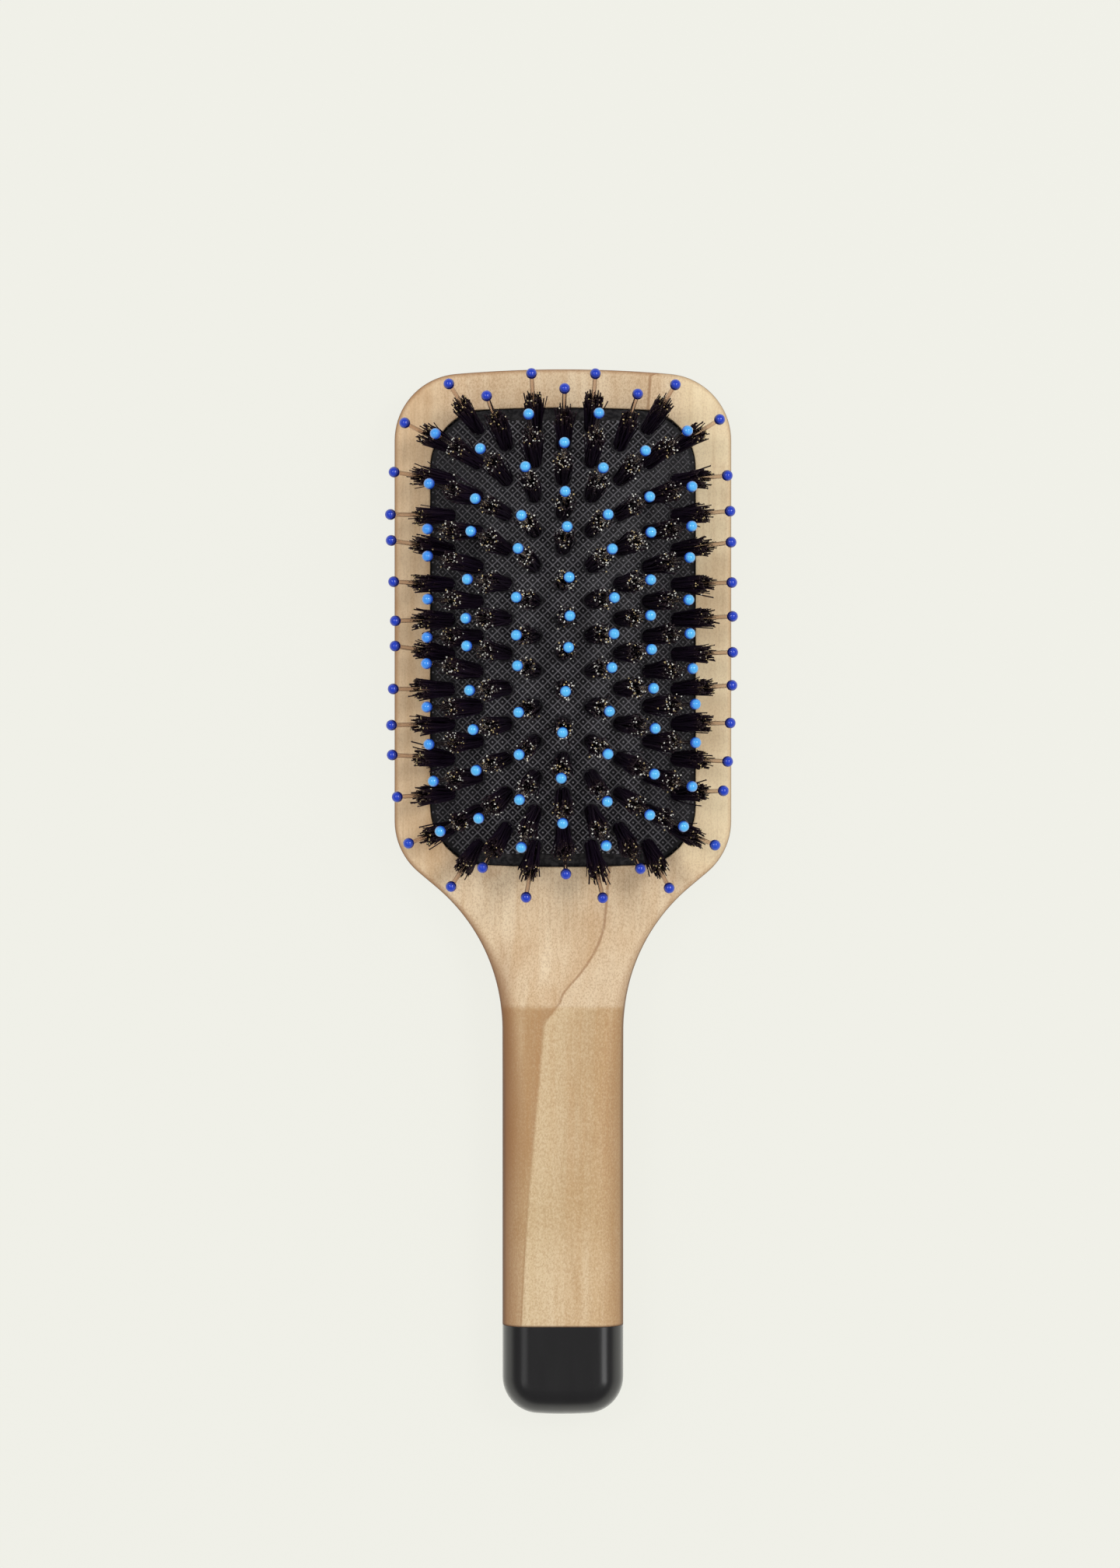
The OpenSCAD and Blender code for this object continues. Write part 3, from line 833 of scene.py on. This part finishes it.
def lattice(slant):
    """Fine ribs running aslant, slant 1 or -1, over the dome, each a low closed bar.

    A rib follows its straight line across the sheet, laid on the dome; its section is a low
    roof whose rise fades out at both ends.
    """
    k = np.arange(-RIB_COUNT, RIB_COUNT + 1)
    along = np.linspace(-RIB_SPAN, RIB_SPAN, 2 * RIB_SPAN * SAMPLES + 1)
    cx = (k[:, None] * RIB_PITCH + slant * along[None, :]) / np.sqrt(2)
    cy = (-slant * k[:, None] * RIB_PITCH + along[None, :]) / np.sqrt(2)
    end = CUSHION_HALF_L - RIB_MARGIN
    side_reach = half_width(np.clip(cy, -end, end), -RIB_MARGIN)
    inside = (np.abs(cy) < RIBBED_HALF) & (np.abs(cx) < side_reach)
    kept = inside.sum(axis=1) > FEWEST
    inside = inside[kept]
    k = k[kept][:, None]
    first = along[np.argmax(inside, axis=1)][:, None]
    final = along[len(along) - 1 - np.argmax(inside[:, ::-1], axis=1)][:, None]
    share = np.linspace(0, 1, RIB_STEPS)[None, :]
    s = first + (final - first) * share
    x = (k * RIB_PITCH + slant * s) / np.sqrt(2)
    y = (-slant * k * RIB_PITCH + s) / np.sqrt(2)
    up = crown_normal(x, y)
    side = np.array([1, -slant, 0]) / np.sqrt(2)
    side = side - (up @ side)[..., None] * up
    rise = np.clip(np.minimum(s - first, final - s) / RIB_FADE, 0, 1)[..., None]
    spot = np.stack([x, y, crown(x, y)], axis=-1)
    across = [-RIB_HALF, -0.4 * RIB_HALF, 0.4 * RIB_HALF, RIB_HALF, 0]
    heights = [-0.05, RIB_RISE, RIB_RISE, -0.05, -0.15]
    ring = [spot + a * side + up * (h * rise if h > 0 else h) for a, h in zip(across, heights)]
    points = np.stack(ring, axis=2)
    count, steps, levels = points.shape[:3]
    bar = grid_faces(steps, levels, round_cols=True)
    caps = np.array([np.arange(levels), (steps - 1) * levels + np.arange(levels)[::-1]])
    shift = (np.arange(count) * steps * levels)[:, None, None]
    return (points.reshape(-1, 3), (bar[None] + shift).reshape(-1, 4)[:, ::-1],
            (caps[None] + shift).reshape(-1, levels)[:, ::-1])


COL_PITCH = 5.9
ROW_PITCH = 7.25
SIDE_LEAN = 32.7  # degrees outwards, for the outermost columns
END_LEAN = 31.3  # and for the end rows
STRAY = 5.0  # of the waves below: their values are fitted ones, not the design's
SIDE_WAVES = ((0.4, 4.8, -164), (0.3, 48.9, 158), (0.3, 32.9, -79))
END_WAVES = ((0.35, 111.1, -73), (0.35, 137.3, 119))


def shortest_turn(a, b, c):
    """The turn that takes +Z to the direction (a, b, c) by the shortest way."""
    q = 1 / (1 + c)
    return np.stack([np.stack([1 - a * a * q, -a * b * q, a], -1),
                     np.stack([-a * b * q, 1 - b * b * q, b], -1),
                     np.stack([-a, -b, c], -1)], axis=1)


def tuft_stations():
    """Where each tuft stands: its root, the turn that leans it, and its ring from the rim in.

    Nine columns of 13 and 12 by turns; a tuft leans outwards by its share of the width and
    length, the sides less towards the ends and the ends less towards the sides, and strays by
    a sum of sine waves of its number: share, pace and start each.
    """
    rows = np.where(np.arange(-4, 5) % 2 == 0, 12, 13)
    c = np.repeat(np.arange(-4, 5), rows)
    k = np.concatenate([np.arange(count) for count in rows])
    of = np.repeat(rows, rows)
    number = (c + 4) * 13 + k
    x = c * COL_PITCH
    y = (k - (of - 1) / 2) * ROW_PITCH
    t = y / (ROW_PITCH * 6)
    u = c / 4

    def wander(waves):
        return STRAY * sum(share * np.sin(np.radians(pace * number + start))
                           for share, pace, start in waves)

    lean_x = SIDE_LEAN * (1.25 * u - 0.25 * u**3) * (1 - 0.49 * t**4) + wander(SIDE_WAVES)
    pull = np.sign(t) * np.abs(t) ** (1.9 + 6.9 * u**4)
    lean_y = END_LEAN * (1 - 0.44 * u**2) * pull + wander(END_WAVES)
    lean_x, lean_y = np.radians(lean_x), np.radians(lean_y)
    a, b = np.sin(lean_x), np.sin(lean_y)
    up = np.sqrt(1 - a**2 - b**2)
    ring = np.minimum(np.minimum(4 - np.abs(c), k), of - 1 - k)
    return np.stack([x, y, crown(x, y)], -1), shortest_turn(a, b, up), ring


ROOTS, TURNS, RINGS = tuft_stations()
RING_NAMES = ["rim", "outer", "middle", "inner", "core"]


def stand(shape, chosen):
    """Copies a shape, one for all or one for each, onto the chosen stations: leant, then moved."""
    turned = np.einsum("nij,n...j->n...i", TURNS[chosen], np.broadcast_to(
        shape, (len(chosen), *shape.shape[-2:])))
    return turned + ROOTS[chosen][:, None, :]


def copies(faces, point_count, copy_count):
    """The same faces again for each copy of a shape with that many points."""
    shift = np.arange(copy_count)[:, None, None] * point_count
    return (faces[None] + shift).reshape(-1, faces.shape[-1])


def ring_meshes(prefix, shape, faces):
    """For each ring: its name, its stations, and a mesh of what stands on them."""
    for ring, name in enumerate(RING_NAMES):
        chosen = np.flatnonzero(RINGS == ring)
        copied = [copies(f, shape.shape[-2], len(chosen)) for f in faces]
        own = shape if shape.ndim == 2 else shape[chosen]
        yield name, chosen, make_mesh(prefix + name, stand(own, chosen).reshape(-1, 3), *copied)


def lathe(radius, height, sides):
    """A profile, from its lowest point on the axis to its highest, turned about Z: each ring is
    radius times (cos t, sin t)."""
    t = np.arange(sides) * 2 * np.pi / sides
    r = np.array(radius[1:-1])[:, None]
    z = np.array(height[1:-1])[:, None]
    rings = np.stack(np.broadcast_arrays(r * np.cos(t), r * np.sin(t), z), -1).reshape(-1, 3)
    points = np.vstack([rings, [[0, 0, height[0]], [0, 0, height[-1]]]])
    n = len(radius) - 2
    here = np.arange(sides)
    after = np.roll(here, -1)
    top = (n - 1) * sides
    quads = grid_faces(n, sides, round_cols=True)[:, ::-1]
    foot = np.column_stack([np.full(sides, n * sides), after, here])
    cap = np.column_stack([np.full(sides, n * sides + 1), top + here, top + after])
    return points, quads, foot, cap


COLLAR_R = 1.62
COLLAR_H = 0.26


def collars():
    """Moulded collars: a low ring of rubber round each tuft's hole, its section a half circle."""
    a = np.radians(np.linspace(-30, 210, 8))
    radius = [0, *(COLLAR_R + 0.32 * np.cos(a)), 0]
    height = [-0.6, *(COLLAR_H * np.sin(a) - 0.02), -0.6]
    return lathe(radius, height, 18)


def cushion_mesh():
    """The membrane, its two sets of ribs and the collars, all of one moulding."""
    points, faces = membrane()
    raised = [np.zeros(len(points))]
    parts = [points]
    base = len(points)
    for slant in (1, -1):
        bar_points, bars, caps = lattice(slant)
        faces += [bars + base, caps + base]
        parts.append(bar_points)
        raised.append(np.ones(len(bar_points)))
        base += len(bar_points)
    ring, *ring_faces = collars()
    everywhere = np.arange(len(ROOTS))
    parts.append(collar_places(ring).reshape(-1, 3))
    faces += [copies(f, len(ring), len(everywhere)) + base for f in ring_faces]
    # the collars take a little of the ribs' painted highlight
    raised.append(np.full(len(ring) * len(everywhere), 0.12))
    mesh = make_mesh("rubber_cushion", np.concatenate(parts), *faces)
    carry(mesh, "raised", np.concatenate(raised))
    return mesh


def collar_places(ring):
    """The collar laid on the dome at each root, square to the rubber."""
    turn = shortest_turn(*crown_normal(ROOTS[:, 0], ROOTS[:, 1]).T)
    return np.einsum("nij,mj->nmi", turn, ring) + ROOTS[:, None, :]


def rubber_finish():
    """Black rubber with a painted highlight: grey on its ribs, its collars and the small pip in each
    cell of the lattice, and greyer over the middle of the dome than towards its sides; with a leathery
    grain along the two ends where the ribs stop."""
    f = Finish("moulded_black_rubber", specular_ior_level=0.25)
    place = f.place()
    x, y, z = f.split(place)
    root = 0.5 ** 0.5 / RIB_PITCH
    down = (x - y) * root
    along = (x + y) * root
    a = abs(down.math("FRACT") - 0.5)
    b = abs(along.math("FRACT") - 0.5)
    pip = f.step(a * a + b * b, 0.007, 0.026, 1.0, 0.0)
    end = f.step(abs(y), RIBBED_HALF - 0.7, RIBBED_HALF + 0.3)
    raised = f.value_of("raised")
    grain = f.noise(place, 1.1, 3.0, 0.6, 0.6)
    dust = f.noise(place, 0.25, 2.0)
    # painted light: the ribs and pips are painted paler over the middle of the dome than towards its
    # sides
    crown_light = f.step(abs(x), 10.0, 28.0, 1.0, 0.42)
    plain = (1 - end) * (1 - f.step(raised, 0.0, 0.1))
    # painted highlight: ribs, collars and pips painted grey on the black rubber
    colour = f.layers((16, 14, 19), (f.step(dust, 0.4, 0.7), (22, 20, 26)),
                      (end * f.step(grain, 0.4, 0.65), (52, 50, 52)),
                      (raised * crown_light, (121, 118, 123)),
                      (pip * plain * crown_light, (146, 143, 147)))
    rough = f.step(grain, 0.3, 0.7, 0.42, 0.6)
    height = pip * plain * 0.5 + grain * (end * 0.9 + 0.1)
    relief = f.bump(height, 0.00025, 0.7)
    f.feed(base_color=colour, roughness=rough, normal=relief)
    return f


cushion = show("rubber_cushion", cushion_mesh(), rubber_finish(), "wooden_body",
               ["cushion_rubber"])
smooth(cushion.data, 40)
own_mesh(cushion)

# --------------------------------------
# Tufts: a bunch of stiff dark natural bristle folded round each quill's foot
# and pulled into the rubber by a wire staple. Its cut ends are ragged, some pale.

BRISTLES = 96  # in each tuft
BRISTLE_R = 0.155
TUFT_L = 13.5
CLUMPS = 15  # bristles cling together in about this many clumps
STRAYS = 0.04  # share of the bristles that stray well out of the tuft
TRIMMED = 0.885  # share of the tuft's length to which the clumps are trimmed
RAGGED = 0.24  # and the most that one bristle falls short of it
ROOT_DEPTH = 1.2  # how far the bristles start below the rubber
rng = np.random.default_rng(7)


def bristle_tufts():
    """Every bristle of every tuft: a three-sided rod with a small flat cut end.

    From a place in the ring round the quill it runs to one further out, its distance from the
    tuft's middle growing as a power of its share of the length, with a slight sway. Clumps of
    bristles share a drift of their ends, and a few bristles stray well out of the tuft.
    """
    shape = (len(ROOTS), BRISTLES)
    root_share = np.sqrt(rng.random(shape))
    tip_share = 0.5 * root_share + 0.5 * np.sqrt(rng.random(shape))
    root_a = rng.random(shape) * 2 * np.pi
    tip_a = root_a + rng.normal(0, 0.35, shape)
    root_r = 0.6 + 0.72 * root_share
    astray = rng.random(shape) < STRAYS
    tip_r = 0.45 + 1.5 * tip_share + np.where(astray, 0.3 + 1.1 * rng.random(shape), 0)
    clump = rng.integers(0, CLUMPS, shape)
    drift = rng.normal(0, 0.34, (len(ROOTS), CLUMPS, 2))
    drift = np.take_along_axis(drift, clump[..., None], axis=1)
    reach = rng.normal(0, 0.045, (len(ROOTS), CLUMPS))
    reach = np.take_along_axis(reach, clump, axis=1)
    length = TUFT_L * (TRIMMED + reach - RAGGED * rng.random(shape) ** 2.2)
    length = np.minimum(length, TUFT_L - 0.3)
    power = 0.95 + 0.7 * rng.random(shape)
    sway = rng.normal(0, 0.16, (*shape, 2))
    thick = BRISTLE_R * (0.75 + 0.5 * rng.random(shape))
    spin = rng.random(shape) * 2 * np.pi
    tone = rng.random(shape)
    s = np.array([0, 0.3, 0.58, 0.82, 0.986, 1.0])
    girth = np.array([1.0, 1.0, 0.96, 0.92, 0.95, 1.35])
    rise = s[None, None, :]
    root = root_r[..., None] * np.stack([np.cos(root_a), np.sin(root_a)], -1)
    tip = tip_r[..., None] * np.stack([np.cos(tip_a), np.sin(tip_a)], -1) + drift
    share = rise ** power[..., None]
    middle_line = (root[:, :, None] + (tip - root)[:, :, None] * share[..., None]
                   + sway[:, :, None] * np.sin(np.pi * rise)[..., None])
    z = -ROOT_DEPTH + (length[..., None] + ROOT_DEPTH) * rise
    t = spin[..., None] + np.arange(3) * 2 * np.pi / 3
    girth = thick[..., None] * girth
    round_it = np.stack([np.cos(t), np.sin(t)], -1)
    xy = middle_line[:, :, :, None] + girth[..., None, None] * round_it[:, :, None]
    z = np.broadcast_to(z[..., None, None], (*xy.shape[:-1], 1))
    points = np.concatenate([xy, z], -1)
    reach = np.broadcast_to(s[None, None, :, None], points.shape[:-1])
    tone = np.broadcast_to(tone[:, :, None, None], points.shape[:-1])
    return points, reach, tone


def bristle_finish():
    """Near-black bristle, a little browner towards its end, cut pale and flagged on some."""
    f = Finish("natural_bristle", specular_ior_level=0.3)
    reach = f.value_of("reach")
    tone = f.value_of("tone")
    cut = f.step(reach, 0.991, 0.995) * f.step(tone, 0.66, 0.68)
    gold = f.layers((206, 184, 132), (f.step(tone, 0.74, 0.8), (232, 231, 222)))
    colour = f.layers((34, 21, 42), (f.step(tone, 0.3, 1.0) * 0.7, (52, 37, 54)),
                      (f.step(reach, 0.78, 1.0) * 0.5, (54, 38, 32)), (cut, gold))
    f.feed(base_color=colour, roughness=f.step(tone, 0.0, 1.0, 0.4, 0.6))
    return f


def tuft_faces():
    """The faces of one tuft: every bristle is a closed rod of six rings of three points."""
    rod = 6 * 3
    wall = grid_faces(6, 3, round_cols=True)[:, ::-1]
    ends = np.array([[2, 1, 0], [rod - 3, rod - 2, rod - 1]])
    return [copies(wall, rod, BRISTLES), copies(ends, rod, BRISTLES)]


bristle = bristle_finish()
tufts, reach, tone = bristle_tufts()
tufts = tufts.reshape(len(ROOTS), -1, 3)
for name, chosen, mesh in ring_meshes("bristle_tufts_", tufts, tuft_faces()):
    carry(mesh, "reach", reach[chosen])
    carry(mesh, "tone", tone[chosen] * (0.78 if name == "rim" else 1))
    show("bristle_tufts_" + name, mesh, bristle, name + "_ring", ["tufts_" + name])
    smooth(mesh, 70)

# --------------------------------------
# Quills: a clear nylon rod up the middle of each tuft, moulded with a wider
# foot that the staple holds. It stands past the bristle and carries the tip.

QUILL_R = 0.45
QUILL_L = 20.6  # from the rubber to the middle of the ball
FOOT_R = 0.75
FOOT_Z = -2.15
FOOT_HALF = 0.7


def nylon_finish():
    """Clear, very slightly warm nylon, clouded a little more in some places than in others."""
    f = Finish("clear_nylon", transmission_weight=1.0, ior=1.53)
    cloud = f.noise(f.stretch(f.place(), 2.0, 2.0, 0.4), 1.0, 2.0)
    f.feed(base_color=f.layers((244, 228, 220), (cloud, (234, 214, 204))),
           roughness=f.step(cloud, 0.3, 0.7, 0.0, 0.04))
    return f


nylon = nylon_finish()
quill_radius = [0, FOOT_R - 0.1, FOOT_R, FOOT_R, QUILL_R, QUILL_R, QUILL_R, QUILL_R - 0.08, 0]
quill_height = [FOOT_Z - FOOT_HALF, FOOT_Z - FOOT_HALF, FOOT_Z - FOOT_HALF + 0.1,
                FOOT_Z + FOOT_HALF, FOOT_Z + FOOT_HALF, 6.0, QUILL_L + 0.2, QUILL_L + 0.28,
                QUILL_L + 0.28]
quill_points, *quill_faces = lathe(quill_radius, quill_height, 14)
for name, chosen, mesh in ring_meshes("nylon_quills_", quill_points, quill_faces):
    show("nylon_quills_" + name, mesh, nylon, name + "_ring", ["quills_" + name])
    smooth(mesh, 40)

# --------------------------------------
# Ball tips: blue beads pushed over the quills' ends and glazed, with painted
# light palest over the crown and painted shade deepest round the side and neck.

BALL_R = 1.13
BORE_R = QUILL_R + 0.02
BORE_TOP = 0.32


def bead_profile():
    """A ball with a blind bore from below: axis, bore, then a circle from its mouth to the crown."""
    mouth = np.arcsin(BORE_R / BALL_R)
    a = np.linspace(np.pi - mouth, 0, 13)[:-1]
    radius = [0, BORE_R, *(BALL_R * np.sin(a)), 0]
    height = [BORE_TOP, BORE_TOP, *(BALL_R * np.cos(a)), BALL_R]
    return radius, height


def bead_finish():
    """Opaque blue under a clear glaze, with painted light and shade: azure over the crown of the
    cushion, cobalt round it where the beads lean away, and each bead deeper down its sides."""
    f = Finish("glazed_blue", coat_weight=1.0, coat_ior=1.75, coat_roughness=0.16,
               roughness=0.4, specular_ior_level=0.2)
    side = f.value_of("from_crown")
    depth = f.value_of("depth")
    speck = f.noise(f.place(), 2.2, 2.0)
    # painted light and shade: beads that stand up are painted azure, those that lean cobalt, each darker
    # down its sides
    deep = f.layers((22, 92, 220), (depth, (2, 14, 96)))
    colour = f.layers((80, 192, 255), (f.step(depth, 0.0, 0.5), (32, 130, 246)),
                      (f.step(depth, 0.5, 1.0), (0, 54, 194)), (f.step(side, 0.2, 0.48), deep),
                      (f.step(speck, 0.6, 0.8) * 0.15, (30, 60, 170)))
    f.feed(base_color=colour, coat_weight=f.step(depth, 0.1, 0.8, 1.0, 0.68))
    return f


glaze = bead_finish()
bead_radius, bead_height = bead_profile()
bead_points, *bead_faces = lathe(bead_radius, bead_height, 20)
bead_side = np.arccos(np.clip(bead_points[:, 2] / BALL_R, -1, 1)) / np.pi
bead_lean = np.degrees(np.arccos(TURNS[:, 2, 2]))
rim = RINGS == RING_NAMES.index("rim")
# painted light and shade: how much deeper a bead is painted, by how far it leans
bead_lean_shade = np.where(rim, np.clip(0.8 + (bead_lean - 20) / 40, 0.8, 1),
                      np.clip((bead_lean - 22) / 22, 0, 0.4))
for name, chosen, mesh in ring_meshes("ball_tips_", bead_points + [0, 0, QUILL_L], bead_faces):
    carry(mesh, "from_crown", np.tile(bead_side, len(chosen)))
    carry(mesh, "depth", np.repeat(bead_lean_shade[chosen], len(bead_points)))
    show("ball_tips_" + name, mesh, glaze, name + "_ring", ["tips_" + name])
    smooth(mesh, 50)

# --------------------------------------
# Staples: short lengths of drawn wire that lie behind the rubber, through
# each quill's foot. Their solids are right as they are and only get the metal.


def wire_finish():
    """Drawn steel wire with a thin yellowish plating, dulled in fine specks."""
    f = Finish("drawn_wire", metallic=1.0)
    speck = f.noise(f.place(), 3.0, 2.0)
    f.feed(base_color=f.layers((206, 200, 186), (f.step(speck, 0.45, 0.7), (170, 158, 132))),
           roughness=f.step(speck, 0.3, 0.7, 0.25, 0.45))
    return f


wire = wire_finish()
for name in RING_NAMES:
    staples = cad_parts["staples_" + name]
    staples.data.materials.clear()
    staples.data.materials.append(wire.material)
